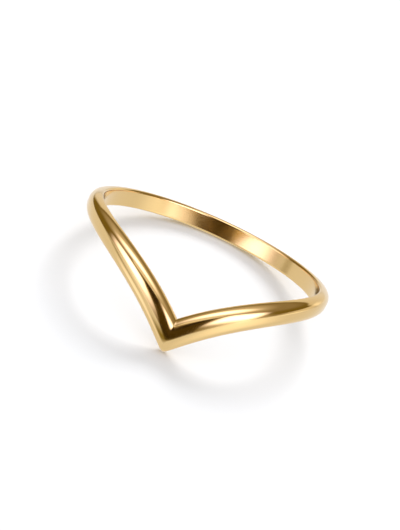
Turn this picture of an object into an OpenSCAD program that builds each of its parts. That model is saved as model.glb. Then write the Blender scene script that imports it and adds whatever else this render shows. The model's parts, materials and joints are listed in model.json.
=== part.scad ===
// Chevron ring: a plain band, flat inside and domed outside, whose front is drawn down into a point.
// The ring lies as it rests by itself, on the tip of the point and on the lower edge of the back.
// Up is +Z, the point faces -Y, and the origin is on the floor under the middle of the ring.

/* [Finger] */
// Inside diameter of the ring
inner_d = 17.3; // [14:0.1:22]

/* [Band] */
// Width of the band round the back
back_w = 1.4; // [1.2:0.05:2.6]
// Width of the band at the point, measured square to an arm
front_w = 2.0; // [1.2:0.05:3.2]
// Thickness of the band, from the finger to the crown of the dome
band_t = 1.0; // [0.7:0.05:2]
// Rounding of the two inner edges
edge_r = 0.16; // [0.08:0.01:0.25]
// Fullness of the dome, where 2 is an ellipse and a higher number is squarer
dome_power = 2.45; // [2:0.05:4]

/* [Chevron] */
// Depth that the point falls below the level of the back
point_drop = 5.1; // [2:0.05:9]
// Angle round the finger from the point to where an arm begins to fall
sweep_deg = 120; // [70:1:150]
// Steepness of the arms, where a higher number keeps the fall closer to the point
sweep_power = 3.7; // [2.5:0.1:5]
// Softness of the lower corner of the point, as the polished radius along the band
point_soft = 0.25; // [0.05:0.01:0.6]

/* [Hidden] */

inner_r = inner_d / 2;
gold = [0.90, 0.74, 0.44];

// How the band is cut into stations, closer together near the point
half_stations = 88;
apex_share = 0.4;
edge_steps = 3;
dome_steps = 9;

// How fast the band narrows from the point to the back
narrowing = 2;

// The bore is cut round the back and the sides, and the arms are formed just clear of it
arm_deg = 40;
arm_blend_deg = 2;
arm_relief = 0.01;
bore_stock = 0.03;

// Steps in finding the lean at which the tip and the back touch the floor together
lean_steps = 6;

// Fall of the middle line of the band at an angle from the point, and its slope along the finger
function fall(a) = point_drop * pow(max(1 - a / sweep_deg, 0), sweep_power);
function slope(a) = point_drop * sweep_power * pow(max(1 - a / sweep_deg, 0), sweep_power - 1)
    / (inner_r * sweep_deg * PI / 180);

// Width of the band square to its own run
function width(a) = back_w + (front_w - back_w) * pow((1 + cos(a)) / 2, narrowing);

// Radius at which the flat inner wall is formed before the bore is cut
function wall_r(a) = inner_r
    + lookup(abs(a), [[arm_deg, arm_relief], [arm_deg + arm_blend_deg, -bore_stock]]);

// Upper half of the section at one station, from the inner wall over the edge to the crown of the dome.
// Each point is its radius from the finger's axis and its height in a band of half width b.
function upper_half(a, b) = concat(
    [[wall_r(a), b - edge_r]],
    [for (i = [1 : edge_steps]) let (s = 90 * i / edge_steps)
        [inner_r + edge_r * (1 - cos(s)), b - edge_r * (1 - sin(s))]],
    [for (i = [1 : dome_steps]) let (s = 90 * i / dome_steps)
        [inner_r + edge_r + (band_t - edge_r) * pow(sin(s), 2 / dome_power),
         b * pow(cos(s), 2 / dome_power)]]);

function section(a, b) = let (
        up = upper_half(a, b),
        low = [for (i = [len(up) - 2 : -1 : 0]) [up[i][0], -up[i][1]]])
    concat(up, low);

// One station of the band in the ring's own frame, with the finger's axis along Z.
// The corner of the point is sharp on the upper edge and softened towards the lower one.
function station(a) = let (b = width(a) / 2, soft = point_soft / inner_r * 180 / PI)
    [for (p = section(a, b)) let (
            from_top = (1 - p[1] / b) / 2,
            u = norm([a, soft * from_top]),
            stretch = norm([1, slope(u)]))
        [p[0] * sin(a), -p[0] * cos(a), p[1] * stretch - fall(u)]];

function station_angle(i) = let (s = i / half_stations) 180 * (apex_share * s + (1 - apex_share) * pow(s, 3));

stations = [for (i = [-half_stations : half_stations - 1]) station(station_angle(i))];

// Height of a point above the floor, and its place front to back, once the ring leans by an angle
function lifted(p, lean) = p[2] * cos(lean) - p[1] * sin(lean);
function shifted(p, lean) = p[1] * cos(lean) + p[2] * sin(lean);

// Lowest point of a station at a lean
function lowest(points, lean) = let (h = [for (p = points) lifted(p, lean)])
    points[search(min(h), h)[0]];

// Lean at which the point's station and the back's station are equally low
function lean_from(lean, steps) = steps == 0 ? lean : let (
        tip = lowest(stations[half_stations], lean),
        back = lowest(stations[0], lean))
    lean_from(atan2(back[2] - tip[2], back[1] - tip[1]), steps - 1);

lean = lean_from(0, lean_steps);
floor_z = min([for (s = stations) for (p = s) lifted(p, lean)]);
front_y = min([for (s = stations) for (p = s) shifted(p, lean)]);
back_y = max([for (s = stations) for (p = s) shifted(p, lean)]);

module swept_band() {
    n = len(stations);
    m = len(stations[0]);
    quads = [for (i = [0 : n - 1]) for (j = [0 : m - 1]) let (
            k = (i + 1) % n,
            l = (j + 1) % m)
        [k * m + j, k * m + l, i * m + l, i * m + j]];
    polyhedron([for (s = stations) each s], quads, convexity = 6);
}

module finger_bore() {
    reach = point_drop + front_w * 2;
    cylinder(h = 2 * reach, r = inner_r, center = true, $fn = 180);
}

module ring_band() {
    color(gold)
        translate([0, -(front_y + back_y) / 2, -floor_z])
            rotate([-lean, 0, 0])
                difference() {
                    swept_band();
                    finger_bore();
                }
}

ring_band();
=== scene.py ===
# %% [markdown]
# # A polished chevron ring
#
# The real ring is one piece of yellow gold: a slim band, flat towards the finger and domed on the
# outside, whose front is drawn down into a point. In this lesson the band is spun, bent into its
# chevron and laid down as it rests, and then it gets a polish, a floor and a small photo studio.
# The scene is in metres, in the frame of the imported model, which stands in for the ring until the
# detailed band is ready. The band itself is shaped in millimetres, as a goldsmith measures it.

# %% Load the frame
import json
import math

import bmesh
import bpy
from mathutils import Matrix, Vector


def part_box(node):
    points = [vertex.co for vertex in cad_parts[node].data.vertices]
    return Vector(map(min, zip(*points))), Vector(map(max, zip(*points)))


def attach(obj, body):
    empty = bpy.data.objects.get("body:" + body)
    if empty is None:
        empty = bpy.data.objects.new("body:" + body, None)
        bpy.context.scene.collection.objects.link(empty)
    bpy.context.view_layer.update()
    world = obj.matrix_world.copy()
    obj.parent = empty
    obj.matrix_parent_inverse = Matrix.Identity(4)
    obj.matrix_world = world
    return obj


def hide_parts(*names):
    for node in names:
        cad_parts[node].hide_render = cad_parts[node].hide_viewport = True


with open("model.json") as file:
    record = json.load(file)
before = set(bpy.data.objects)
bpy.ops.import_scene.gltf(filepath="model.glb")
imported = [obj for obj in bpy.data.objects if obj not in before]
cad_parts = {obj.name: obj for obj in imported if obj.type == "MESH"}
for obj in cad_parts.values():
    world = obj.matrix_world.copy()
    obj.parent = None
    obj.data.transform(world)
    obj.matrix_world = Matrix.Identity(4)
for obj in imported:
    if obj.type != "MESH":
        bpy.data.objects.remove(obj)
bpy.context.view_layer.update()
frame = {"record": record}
MM = 0.001


def in_mm(lengths):
    """Turns a row of lengths from metres to millimetres, rounded to be printed."""
    return [round(length / MM, 3) for length in lengths]


# %% [markdown]
# ## The camera
#
# A product photographer shoots jewellery from a few hand's breadths away with a long lens, so the
# ring hardly tapers with distance. The camera is placed by an aim point, a distance and three
# angles: how far it stands round the ring, how high it looks from, and how far it is rolled. The
# roll is what sets the ring on a slant in the picture. Angles are easier to read and to change
# than a matrix, and a constraint that tracks the ring could not roll.

# %% Camera
CAMERA_AZIMUTH = math.radians(0)
CAMERA_ELEVATION = math.radians(29.6)
CAMERA_ROLL = math.radians(24.4)
CAMERA_DISTANCE = 250 * MM
CAMERA_AIM = Vector((-0.1, 0.15, 2.25)) * MM
CAMERA_CLIP = (10 * MM, 10)
# Focal length and width of the sensor, which Blender takes in millimetres
CAMERA_LENS = 230
CAMERA_SENSOR = 36


def direction(azimuth, elevation):
    """Unit vector from the ring towards a place round it; azimuth 0 is the side of the point."""
    level = math.cos(elevation)
    return Vector((math.sin(azimuth) * level, -math.cos(azimuth) * level, math.sin(elevation)))


def look_from(azimuth, elevation, roll, distance, aim):
    """Matrix of an object whose -Z axis looks at aim, turned by roll about that line of sight."""
    back = direction(azimuth, elevation)
    level_right = Vector((math.cos(azimuth), math.sin(azimuth), 0))
    right = level_right * math.cos(roll) + back.cross(level_right) * math.sin(roll)
    turn = Matrix((right, back.cross(right), back)).transposed().to_4x4()
    return Matrix.Translation(aim + back * distance) @ turn


camera_data = bpy.data.cameras.new("camera")
camera_data.sensor_width = CAMERA_SENSOR
camera_data.lens = CAMERA_LENS
camera_data.clip_start, camera_data.clip_end = CAMERA_CLIP
camera = bpy.data.objects.new("camera", camera_data)
bpy.context.scene.collection.objects.link(camera)
camera.matrix_world = look_from(
    CAMERA_AZIMUTH, CAMERA_ELEVATION, CAMERA_ROLL, CAMERA_DISTANCE, CAMERA_AIM
)
bpy.context.scene.camera = camera
print("Camera at", in_mm(camera.matrix_world.translation), "mm")

# %% [markdown]
# ## The sizes of the band
#
# A goldsmith orders such a band by a few figures: the finger's diameter, the width and thickness
# of the wire, and how far and how steeply the front falls into its point. The same figures drive
# the solid model, so they are repeated here in millimetres. The finger's place, lean and radius
# are read from the frame, because the ring leans on its point and only the frame knows by how
# much. One figure is the scene's alone: a band is rounded up on a tapered mandrel, so its inner
# wall opens upwards by a hair.

# %% Sizes
finger = next(m for m in frame["record"]["mounts"] if m["name"] == "finger_bore")
finger_axis = Vector(finger["axis"])
finger_point = Vector(finger["pos_m"])
INNER_R = finger["dims"]["r_mm"]

BACK_W = 1.4
FRONT_W = 2.0
BAND_T = 1.0
EDGE_R = 0.16
MANDREL_TAPER = math.radians(2)
# Fullness of the dome, where 2 is an ellipse, and how fast the band narrows towards the back
DOME_POWER = 2.45
NARROWING = 2

# How deep the point falls, over which angle of the finger, how steeply, and its lower rounding
POINT_DROP = 5.1
SWEEP = math.radians(120)
SWEEP_POWER = 3.7
POINT_SOFT = 0.25

UP = Vector((0, 0, 1))
lean = finger_axis.angle(UP)
print("Finger radius", INNER_R, "mm, lean", round(math.degrees(lean), 2), "degrees")

# %% [markdown]
# ## The section of the wire
#
# Cut across, the wire is a soft D: a flat side for the finger, two small rounded edges that stop
# it from biting, and a full dome. A bevelled rectangle would give arcs of one radius only, and
# the dome is fuller than an arc. So the section starts as a circle from an operator, and each of
# its points is moved out to the D by its own angle. The outer half of the circle becomes the
# dome, and the inner half becomes the two edges and the flat.

# %% Section
SECTION_POINTS = 96
SECTION_HALF_W = BACK_W / 2
QUARTER_TURN = math.pi / 2
# Share of a quarter turn that is spent on the rounded edge, and not on the flat
EDGE_SHARE = 0.22
# Angle by which a point may fall short of the outer half through rounding and still belong to it
ROUNDING_ERROR = 1e-6


def signed_power(value, power):
    return math.copysign(abs(value) ** power, value)


def to_section(point):
    """Moves a point of the unit circle to the D; x is across the wire's thickness, y its width."""
    angle = math.atan2(point.y, -point.x)
    if abs(angle) >= QUARTER_TURN - ROUNDING_ERROR:
        thick = EDGE_R + (BAND_T - EDGE_R) * abs(point.x) ** (2 / DOME_POWER)
        return thick, SECTION_HALF_W * signed_power(point.y, 2 / DOME_POWER)
    share = abs(angle) / QUARTER_TURN
    flat_half = SECTION_HALF_W - EDGE_R
    if share < 1 - EDGE_SHARE:
        return 0, math.copysign(flat_half * share / (1 - EDGE_SHARE), angle)
    turn = (share - 1 + EDGE_SHARE) / EDGE_SHARE * QUARTER_TURN
    return EDGE_R * (1 - math.cos(turn)), math.copysign(flat_half + EDGE_R * math.sin(turn), angle)


band = bmesh.new()
bmesh.ops.create_circle(band, cap_ends=False, segments=SECTION_POINTS, radius=1)
for vertex in band.verts:
    thickness, width = to_section(vertex.co)
    vertex.co = (0, -INNER_R - thickness, width)
print("Section with", len(band.verts), "points,", BAND_T, "mm thick")

# %% [markdown]
# ## Spinning the band
#
# A plain wedding band is a section turned once round the finger, which is exactly what spin does.
# A curve with a bevel object would do it too, but it would turn the section at the chevron's
# corner, where the real arms meet in a clean mitre. A full turn needs use_merge, so that the last
# station is welded to the first. The finger's axis is Z for now, and the point will be at -Y.

# %% Spin
STATIONS = 480

bmesh.ops.spin(
    band,
    geom=band.verts[:] + band.edges[:],
    cent=(0, 0, 0),
    axis=UP,
    dvec=(0, 0, 0),
    angle=2 * math.pi,
    steps=STATIONS,
    use_merge=True,
    use_duplicate=False,
)
print("Spun band with", len(band.verts), "vertices and", len(band.faces), "faces")

# %% [markdown]
# ## Drawing the front down into a point
#
# The chevron is the same band with each station lowered along the finger. The fall is greatest at
# the point and dies away towards the back, the band widens a little towards the front, and a
# station on a slope is stretched along the finger so that the wire keeps its width square to its
# own run. Where the arms meet, the upper corner stays crisp, as a file leaves it, and the lower
# corner is rounded off by the polishing wheel. A lattice or a curve modifier could bend the band,
# but neither would keep the mitre in its plane. Moving each vertex by a short formula does, and
# the stations can crowd together near the point in the same step. The mandrel's taper is put into
# the inner wall here too. It moves the wall by a few hundredths of a millimetre, but a mirror that
# tips by two degrees shows another part of the studio.

# %% Chevron
# Spacing of the stations at the point, as a share of even spacing, and how fast it opens out
CROWDING = 0.4
CROWDING_POWER = 3


def crowded(angle):
    """Moves the evenly spun stations closer together near the point."""
    share = angle / math.pi
    return math.pi * (CROWDING * share + (1 - CROWDING) * share**CROWDING_POWER)


def fall(angle):
    """How far a station is lowered, by its angle from the point."""
    return POINT_DROP * max(1 - angle / SWEEP, 0) ** SWEEP_POWER


def stretch(angle):
    """How much longer a station is along the finger where the band slopes."""
    slope = POINT_DROP * SWEEP_POWER * max(1 - angle / SWEEP, 0) ** (SWEEP_POWER - 1)
    return math.hypot(1, slope / (INNER_R * SWEEP))


def half_width(angle):
    """Half the width of the band, square to its own run."""
    share = ((1 + math.cos(angle)) / 2) ** NARROWING
    return (BACK_W + (FRONT_W - BACK_W) * share) / 2


def widened(thick, height, half):
    """Height in the section once it is half wide; the rounded edges keep their size."""
    if thick > EDGE_R:
        return height * half / SECTION_HALF_W
    past_flat = abs(height) - (SECTION_HALF_W - EDGE_R)
    if past_flat > 0:
        return math.copysign(half - EDGE_R + past_flat, height)
    return height * (half - EDGE_R) / (SECTION_HALF_W - EDGE_R)


def to_chevron(point):
    """Moves a point of the spun band to its place in the chevron."""
    x, y, z = point
    angle = crowded(math.atan2(x, -y))
    radius = math.hypot(x, y)
    half = half_width(angle)
    height = widened(radius - INNER_R, z, half)
    radius += height * math.tan(MANDREL_TAPER) * max(1 - (radius - INNER_R) / EDGE_R, 0)
    from_top = (1 - height / half) / 2
    softened = math.hypot(angle, POINT_SOFT / INNER_R * from_top)
    along_finger = height * stretch(softened) - fall(softened)
    return radius * math.sin(angle), -radius * math.cos(angle), along_finger


for vertex in band.verts:
    vertex.co = to_chevron(vertex.co)
print("Point", round(-min(v.co.z for v in band.verts), 2), "mm below the middle of the back")

# %% [markdown]
# ## Laying the ring down
#
# Dropped on a table, a chevron ring stands on its point and on the lower edge of its back. That
# lean is already in the frame, so the band is turned from its own axis to the finger's axis and
# moved to the finger's place, and its mesh goes into the frame with the object left at the
# origin. Spin can leave a closed shape inside out, so the normals are worked out afresh first.
# The whole band is shaded smooth, apart from the crease of the mitre, which an angle finds. Each
# face is also told which of the two finishes it gets, as that is easiest while the band is upright.

# %% Lay down
CREASE = math.radians(24)
# Places of the two finishes among the band's materials
OUTSIDE = 0
INSIDE = 1
# Share of the rounded edge that still has the finish of the inside
INSIDE_SHARE = 0.2

bmesh.ops.recalc_face_normals(band, faces=band.faces[:])
for face in band.faces:
    face.smooth = True
    middle = face.calc_center_median()
    by_finger = math.hypot(middle.x, middle.y) < INNER_R + INSIDE_SHARE * EDGE_R
    face.material_index = INSIDE if by_finger else OUTSIDE
upright = UP.rotation_difference(finger_axis).to_matrix().to_4x4()
band.transform(Matrix.Translation(finger_point) @ upright @ Matrix.Scale(MM, 4))

band_mesh = bpy.data.meshes.new("chevron_band")
band.to_mesh(band_mesh)
band.free()
band_mesh.set_sharp_from_angle(angle=CREASE)
chevron_band = bpy.data.objects.new("chevron_band", band_mesh)
bpy.context.scene.collection.objects.link(chevron_band)

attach(chevron_band, "root")
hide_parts("ring_band")
cad_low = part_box("ring_band")[0]
band_low = Vector([min(v.co[i] for v in band_mesh.vertices) for i in range(3)])
print("Lowest corner is off the solid's by", round((band_low - cad_low).length / MM, 3), "mm")

# %% [markdown]
# ## Helpers for shader nodes
#
# Both finishes of the ring need the same few marks of use, so each mark is a node group, built
# once and placed in both materials with its own values. A few short helpers keep the graphs
# readable. One adds a node and fills in its sockets, and three more use it for what comes up most:
# a sum, a soft ramp and a mix of two colours. The last one opens a group with named inputs and
# outputs. A group is placed in a material as any other node is.

# %% Node helpers
BLACK = (0, 0, 0, 1)
WHITE = (1, 1, 1, 1)
# Places of the two colours and of the result among the sockets of a colour mix
MIX_LOW = 6
MIX_HIGH = 7
MIX_RESULT = 2


def add_node(tree, kind, inputs=None, **settings):
    """Adds a node; inputs maps a socket to a value or to the output that feeds it."""
    node = tree.nodes.new(kind)
    for key, value in settings.items():
        setattr(node, key, value)
    for key, value in (inputs or {}).items():
        if isinstance(value, bpy.types.NodeSocket):
            tree.links.new(value, node.inputs[key])
        else:
            node.inputs[key].default_value = value
    return node


def calculate(tree, operation, *values):
    """Does a sum with one to three values, each a number or the output that feeds it."""
    node = add_node(tree, "ShaderNodeMath", dict(enumerate(values)), operation=operation)
    return node.outputs["Value"]


def ramp(tree, value, start, end):
    """Goes softly from 0 to 1 while the value goes from start to end."""
    sockets = {"Value": value, "From Min": start, "From Max": end}
    node = add_node(tree, "ShaderNodeMapRange", sockets, interpolation_type="SMOOTHSTEP")
    return node.outputs["Result"]


def blend(tree, factor, low, high):
    """Mixes two colours by a factor; each may be a value or the output that feeds it."""
    sockets = {"Factor": factor, MIX_LOW: low, MIX_HIGH: high}
    node = add_node(tree, "ShaderNodeMix", sockets, data_type="RGBA")
    return node.outputs[MIX_RESULT]


def new_group(name, inputs, outputs):
    """Makes a shader group; inputs maps a name to its default, outputs lists names."""
    group = bpy.data.node_groups.new(name, "ShaderNodeTree")
    for key, value in inputs.items():
        kind = "NodeSocketVector" if key == "Position" else "NodeSocketFloat"
        socket = group.interface.new_socket(key, in_out="INPUT", socket_type=kind)
        if value is not None:
            socket.default_value = value
    for key in outputs:
        group.interface.new_socket(key, in_out="OUTPUT", socket_type="NodeSocketFloat")
    return group, group.nodes.new("NodeGroupInput"), group.nodes.new("NodeGroupOutput")


print("Node helpers ready")

# %% [markdown]
# ## Marks of use
#
# Even a new ring has been through a tumbler and a polishing wheel. Under a loupe the polish shows
# a soft haze where fingers touched it and hairlines that run along the wire. The haze is a low,
# cloudy noise. The hairlines are a noise squeezed hard along the finger's axis, so that it changes
# fast across the wire and hardly at all along it. Image textures of scratches would look as good,
# but they would need files and UVs, and these marks follow from the shape alone.

# %% Haze
HAZE_SCALE = 260.0
# The noise hardly leaves these two values, so between them lies the whole haze
CLOUD_RANGE = (0.3, 0.7)

haze, haze_in, haze_out = new_group(
    "handling_haze", {"Position": None, "Scale": HAZE_SCALE, "Low": 0.0, "High": 0.1}, ["Haze"]
)
cloud = add_node(
    haze,
    "ShaderNodeTexNoise",
    {"Vector": haze_in.outputs["Position"], "Scale": haze_in.outputs["Scale"], "Detail": 3.0},
)
spread = add_node(
    haze,
    "ShaderNodeMapRange",
    {
        "Value": cloud.outputs["Fac"],
        "From Min": CLOUD_RANGE[0],
        "From Max": CLOUD_RANGE[1],
        "To Min": haze_in.outputs["Low"],
        "To Max": haze_in.outputs["High"],
    },
)
haze.links.new(spread.outputs["Result"], haze_out.inputs["Haze"])
print("Group:", haze.name)

# %% Hairlines
# How often the noise changes in a metre, across the wire and along it
LINES_ACROSS = 9000.0
LINES_ALONG = 120.0

hairlines, lines_in, lines_out = new_group(
    "polish_hairlines", {"Position": None, "Across": LINES_ACROSS, "Along": LINES_ALONG}, ["Lines"]
)
along, across = lines_in.outputs["Along"], lines_in.outputs["Across"]
squeeze = add_node(hairlines, "ShaderNodeCombineXYZ", {"X": along, "Y": along, "Z": across})
squeezed = add_node(
    hairlines,
    "ShaderNodeVectorMath",
    {0: lines_in.outputs["Position"], 1: squeeze.outputs["Vector"]},
    operation="MULTIPLY",
)
streaks = add_node(
    hairlines,
    "ShaderNodeTexNoise",
    {"Vector": squeezed.outputs["Vector"], "Scale": 1.0, "Detail": 2.0},
)
hairlines.links.new(streaks.outputs["Fac"], lines_out.inputs["Lines"])
print("Group:", hairlines.name)

# %% [markdown]
# ## Yellow gold, outside and inside
#
# Polished gold has no colour of its own apart from what it does to a reflection: it takes most of
# the blue and some of the green out of white light. So the material is a metal with a warm base
# colour and very little roughness, and all its life comes from the studio round it. The outside
# is wheel polished. The inside is burnished round the finger and keeps a trace of its turning
# marks, so it gets its own material, with a little more roughness and stronger hairlines.

# %% Gold
GOLD = (0.7, 0.495, 0.225, 1)


def gold_material(name, roughness, haze_depth, line_depth, line_height):
    """A gold whose roughness is uneven by haze_depth and by line_depth along the hairlines."""
    material = bpy.data.materials.new(name)
    material.use_nodes = True
    tree = material.node_tree
    tree.nodes.clear()
    place = add_node(tree, "ShaderNodeTexCoord")
    # Turned back by the ring's lean, the finger's axis is Z
    upright_place = add_node(
        tree,
        "ShaderNodeMapping",
        {"Vector": place.outputs["Object"], "Rotation": (lean, 0, 0)},
    )
    position = upright_place.outputs["Vector"]
    hazy = add_node(
        tree,
        "ShaderNodeGroup",
        {"Position": position, "Low": roughness, "High": roughness + haze_depth},
        node_tree=haze,
    )
    lined = add_node(tree, "ShaderNodeGroup", {"Position": position}, node_tree=hairlines)
    lines = lined.outputs["Lines"]
    bump = add_node(
        tree, "ShaderNodeBump", {"Height": lines, "Strength": 1.0, "Distance": line_height}
    )
    surface = add_node(
        tree,
        "ShaderNodeBsdfPrincipled",
        {
            "Base Color": GOLD,
            "Metallic": 1.0,
            "Roughness": calculate(tree, "MULTIPLY_ADD", lines, line_depth, hazy.outputs["Haze"]),
            "Normal": bump.outputs["Normal"],
        },
    )
    output = add_node(tree, "ShaderNodeOutputMaterial")
    tree.links.new(surface.outputs["BSDF"], output.inputs["Surface"])
    return material


outside = gold_material(
    "gold_polished", roughness=0.08, haze_depth=0.03, line_depth=0.02, line_height=0.00005 * MM
)
inside = gold_material(
    "gold_burnished", roughness=0.1, haze_depth=0.03, line_depth=0.04, line_height=0.0001 * MM
)
for material in (outside, inside):
    band_mesh.materials.append(material)
print("Materials:", [m.name for m in band_mesh.materials])

# %% [markdown]
# ## The floor
#
# The ring lies on plain white card. A disc is enough, far larger than the ring, so that its edge
# is out of every view. White card sends back most of its light without any gloss, and its whole
# task is to carry the soft shadow. Mirrored rays don't meet the disc: the room has a card of its
# own for them, which can be brightened without washing out the shadow.

# %% Floor
FLOOR_RADIUS = 3.0
FLOOR_SIDES = 128
FLOOR_WHITE = (0.79, 0.795, 0.81, 1)


def stage_object(name, shape, material):
    """Turns a bmesh into an object that belongs to the studio and not to the ring."""
    mesh = bpy.data.meshes.new(name)
    shape.to_mesh(mesh)
    shape.free()
    mesh.materials.append(material)
    made = bpy.data.objects.new(name, mesh)
    bpy.context.scene.collection.objects.link(made)
    return made


card_white = bpy.data.materials.new("white_card")
card_white.use_nodes = True
matte = card_white.node_tree.nodes["Principled BSDF"]
matte.inputs["Base Color"].default_value = FLOOR_WHITE
matte.inputs["Roughness"].default_value = 1.0
matte.inputs["Specular IOR Level"].default_value = 0.0

disc = bmesh.new()
bmesh.ops.create_circle(disc, cap_ends=True, segments=FLOOR_SIDES, radius=FLOOR_RADIUS)
floor = stage_object("floor", disc, card_white)
floor.visible_glossy = False
print("Floor of", FLOOR_RADIUS * 2, "m across")

# %% [markdown]
# ## The studio
#
# A mirror-like ring is lit by what it reflects, so its picture is mostly a picture of the studio.
# In the photograph the ring mirrors a soft light on each side of the camera, a third one overhead,
# a pale wall behind, and a dark gap in front, where the camera stands. Each of these is a card
# placed by its direction from the ring, with its width and height as angles. Area lights would
# light the ring just as well, but a card can fade towards its edges as a real softbox does, and
# that fade is what makes the highlights on gold look liquid. How much of a card fades is given
# apart for its sides and for its ends, from nearly 0 for a hard edge to 1 for a fade that starts
# in the middle.
#
# The cards are there for mirrored rays alone: the camera, which also looks at the ring from other
# sides, doesn't see them, and they neither light nor shade the floor.

# %% Soft edge
fade, fade_in, fade_out = new_group(
    "soft_edge", {"Position": None, "Soft Sides": 0.3, "Soft Ends": 0.3}, ["Strength"]
)
parts = add_node(fade, "ShaderNodeSeparateXYZ", {"Vector": fade_in.outputs["Position"]})
masks = []
for axis, soft in (("X", "Soft Sides"), ("Y", "Soft Ends")):
    from_middle = calculate(fade, "ABSOLUTE", parts.outputs[axis])
    fade_start = calculate(fade, "SUBTRACT", 1.0, fade_in.outputs[soft])
    masks.append(ramp(fade, from_middle, 1.0, fade_start))
fade.links.new(calculate(fade, "MULTIPLY", *masks), fade_out.inputs["Strength"])
print("Group:", fade.name)

# %% Hanging a card
CARD_DISTANCE = 0.6
PLAIN = (1, 1, 1)
# A flag stops more of the green and still more of the blue than of the red
FLAG_TINT = (1, 1.1, 1.4)


def card_material(name, softness, radiance, stopped):
    """A sheet that glows by radiance and stops a share of the light behind it, both fading out."""
    material = bpy.data.materials.new(name)
    material.use_nodes = True
    tree = material.node_tree
    tree.nodes.clear()
    place = add_node(tree, "ShaderNodeTexCoord")
    soft_sides, soft_ends = softness
    mask = add_node(
        tree,
        "ShaderNodeGroup",
        {"Position": place.outputs["Object"], "Soft Sides": soft_sides, "Soft Ends": soft_ends},
        node_tree=fade,
    )
    left_over = [1 - min(stopped * share, 1) for share in FLAG_TINT]
    glow = blend(tree, mask.outputs["Strength"], BLACK, (*radiance, 1))
    veil = blend(tree, mask.outputs["Strength"], WHITE, (*left_over, 1))
    light = add_node(tree, "ShaderNodeEmission", {"Color": glow})
    clear = add_node(tree, "ShaderNodeBsdfTransparent", {"Color": veil})
    sheet = add_node(
        tree, "ShaderNodeAddShader", {0: light.outputs["Emission"], 1: clear.outputs["BSDF"]}
    )
    output = add_node(tree, "ShaderNodeOutputMaterial")
    tree.links.new(sheet.outputs["Shader"], output.inputs["Surface"])
    return material


def hang_card(name, place, size, softness, brightness=0, tint=PLAIN, stopped=0):
    """Hangs a card; place is its azimuth, elevation and roll, size its width and height."""
    radiance = [brightness * share for share in tint]
    sheet = bmesh.new()
    bmesh.ops.create_grid(sheet, x_segments=1, y_segments=1, size=1)
    card = stage_object(name, sheet, card_material(name, softness, radiance, stopped))
    azimuth, elevation, roll = (math.radians(angle) for angle in place)
    hung = look_from(azimuth, elevation, roll, CARD_DISTANCE, CAMERA_AIM)
    half_x, half_y = (CARD_DISTANCE * math.tan(math.radians(angle) / 2) for angle in size)
    card.matrix_world = hung @ Matrix.Diagonal((half_x, half_y, 1, 1))
    card.visible_camera = False
    card.visible_diffuse = False
    card.visible_shadow = False


print("Cards hang", CARD_DISTANCE, "m from the ring")

# %% [markdown]
# ## The lights
#
# Three softboxes do most of the work, the two at the sides and the one overhead. They are bluer
# than white, as studio lamps are beside a room's warm walls. The faint cards are the light that
# bounces off the table, the walls and the ceiling. A brightness of 1 is the white that the rest of
# the scene is lit by, and the softboxes are about three to four times as bright.

# %% Lights
COOL = (1, 0.97, 1.28)

LIGHTS = [
    # name, (azimuth, elevation, roll), (width, height), (soft sides, soft ends), brightness, tint
    ("softbox_left", (-50, 15, 0), (80, 40), (1, 0.7), 3.7, COOL),
    ("softbox_right", (42, 25, -20), (58, 50), (0.6, 0.8), 3.5, COOL),
    ("softbox_above", (-60, 75, 50), (85, 55), (1, 1), 2.9, COOL),
    ("ceiling", (40, 90, 0), (75, 105), (0.8, 0.8), 0.45, PLAIN),
    ("backdrop", (170, 11, 0), (82, 32), (0.4, 0.2), 0.75, PLAIN),
    ("bounce_left", (-57, -27, 0), (45, 30), (0.8, 0.8), 0.6, COOL),
    ("bounce_right", (52, -5, -55), (95, 70), (1, 1), 0.65, PLAIN),
    ("bounce_side", (115, 5, 5), (85, 15), (0.8, 0.1), 0.75, PLAIN),
    ("glow_left", (-125, 45, 30), (70, 55), (0.6, 0.8), 0.15, PLAIN),
    ("glow_above", (-20, 50, 10), (45, 15), (0.1, 0.5), 0.8, PLAIN),
]

for name, place, size, softness, brightness, tint in LIGHTS:
    hang_card(name, place, size, softness, brightness, tint)
print("Lights:", [row[0] for row in LIGHTS])

# %% [markdown]
# ## The flags
#
# Flags are the black cards that a photographer holds in to cut the glare, and they draw the dark
# lines that give polished metal its shape. A solid black card would leave a hard, dead line. So a
# flag stops only a share of the light from behind it, more of the blue than of the red, and the
# metal turns brown there and not grey.

# %% Flags
FLAGS = [
    # name, (azimuth, elevation, roll), (width, height), (soft sides, soft ends), share stopped
    ("flag_front", (-4, 20, 20), (32, 50), (0.05, 0.1), 0.65),
    ("flag_left", (-75, -8, -8), (80, 6), (1, 0.5), 0.4),
    ("flag_above", (-10, 35, -35), (20, 55), (0.4, 0.4), 0.6),
    ("flag_low", (-15, -10, 40), (55, 20), (0.6, 1), 0.7),
]

for name, place, size, softness, stopped in FLAGS:
    hang_card(name, place, size, softness, stopped=stopped)
print("Flags:", [row[0] for row in FLAGS])

# %% [markdown]
# ## The key light
#
# The soft shadow on the floor comes from one more lamp, behind the ring, so that the shadow falls
# towards the camera. The lamp is half as wide as it is far away, which makes the shadow melt within
# a few millimetres of what casts it. Here an area light is right, since all that counts is the
# light it gives. It is hidden from mirrored rays, so that it doesn't glare on the metal.

# %% Key light
KEY_AZIMUTH = math.radians(175)
KEY_ELEVATION = math.radians(36)
KEY_SIZE = CARD_DISTANCE / 2
KEY_POWER = 2.65

key_data = bpy.data.lights.new("key_light", "AREA")
key_data.shape = "DISK"
key_data.size = KEY_SIZE
key_data.energy = KEY_POWER
key_light = bpy.data.objects.new("key_light", key_data)
bpy.context.scene.collection.objects.link(key_light)
key_light.matrix_world = look_from(KEY_AZIMUTH, KEY_ELEVATION, 0, CARD_DISTANCE, CAMERA_AIM)
key_light.visible_glossy = False
key_light.visible_camera = False
print("Key light of", KEY_POWER, "W,", KEY_SIZE, "m wide")

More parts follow.
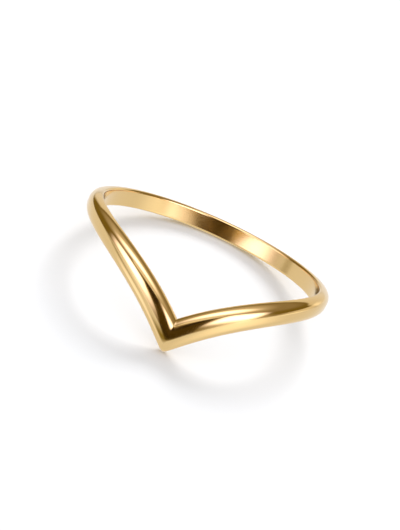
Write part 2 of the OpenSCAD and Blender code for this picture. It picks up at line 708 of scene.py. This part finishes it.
# %% [markdown]
# ## The room
#
# Between the lights the ring mirrors the room itself, brown and dim at the height of the table and
# a little lighter towards the ceiling. Walls and furniture could be modelled for that, but in a
# ring they are a blur. So the world's colour stands in for them, worked out from the direction
# alone, with a ramp over its height.

# %% Room
DUSK = (0.24, 0.17, 0.025, 1)
UPPER_ROOM = (0.38, 0.3, 0.17, 1)
# Heights on a globe of radius 1 between which the room grows lighter
ROOM_CLIMB = (0.37, 0.69)

world = bpy.data.worlds.new("studio_room")
bpy.context.scene.world = world
world.use_nodes = True
sky = world.node_tree
sky.nodes.clear()
heading = add_node(sky, "ShaderNodeTexCoord").outputs["Generated"]
compass = add_node(sky, "ShaderNodeSeparateXYZ", {"Vector": heading})
room = blend(sky, ramp(sky, compass.outputs["Z"], *ROOM_CLIMB), DUSK, UPPER_ROOM)
print("Room grows lighter from", ROOM_CLIMB[0], "to", ROOM_CLIMB[1], "of the way up")

# %% [markdown]
# ## The card under the room
#
# Below the room the ring mirrors the white card that it lies on. The world has this card too,
# under an edge that is tipped by nearly three degrees, because in the photograph the ring hangs a
# little askew above it. A ray that has been mirrored twice leaves from inside the ring, where the
# card lies in the band's own shade. So from the second reflection on the card is dark, apart from
# both sides, where it runs out of the shade.

# %% Mirrored card
SEEN_CARD = (1.03, 1.03, 1.03, 1)
SHADED_CARD = (0.22, 0.2, 0.14, 1)
LIT_CARD = (1.4, 1.4, 1.3, 1)
# Direction square to the card, and the heights over it between which the card begins
CARD_SLANT = Vector((-0.025, 0.04, 1)).normalized()
CARD_EDGE = (-0.02, -0.04)
# How far to the left the shade is centred, and how far to each side of there it ends
SHADE_SHIFT = 0.1
SHADE_END = (0.62, 0.78)
# Count of reflections that only a ray mirrored twice or more is past
PAST_FIRST = 1.5

ray = add_node(sky, "ShaderNodeLightPath")
over_card = add_node(
    sky, "ShaderNodeVectorMath", {0: heading, 1: CARD_SLANT}, operation="DOT_PRODUCT"
)
on_card = ramp(sky, over_card.outputs["Value"], *CARD_EDGE)
shifted = calculate(sky, "ADD", compass.outputs["X"], SHADE_SHIFT)
past_shade = ramp(sky, calculate(sky, "ABSOLUTE", shifted), *SHADE_END)
twice = calculate(sky, "GREATER_THAN", ray.outputs["Glossy Depth"], PAST_FIRST)
inside_ring = blend(sky, past_shade, SHADED_CARD, LIT_CARD)
seen_card = blend(sky, twice, SEEN_CARD, inside_ring)
mirrored = blend(sky, on_card, room, seen_card)
print("Mirrored card is tipped by", round(math.degrees(CARD_SLANT.angle(UP)), 1), "degrees")

# %% [markdown]
# ## White all round
#
# Every ray that the gold hasn't mirrored sees plain white, as if a pale backdrop went all round,
# and this white also lights the floor. The view transform is Standard, because it leaves white
# card white, where a filmic one would turn it grey.

# %% World
seen = blend(sky, ray.outputs["Is Glossy Ray"], WHITE, mirrored)
shine = add_node(sky, "ShaderNodeBackground", {"Color": seen})
sky_output = add_node(sky, "ShaderNodeOutputWorld")
sky.links.new(shine.outputs["Background"], sky_output.inputs["Surface"])
bpy.context.scene.view_settings.view_transform = "Standard"
print("World:", world.name, "with", len(sky.nodes), "nodes")
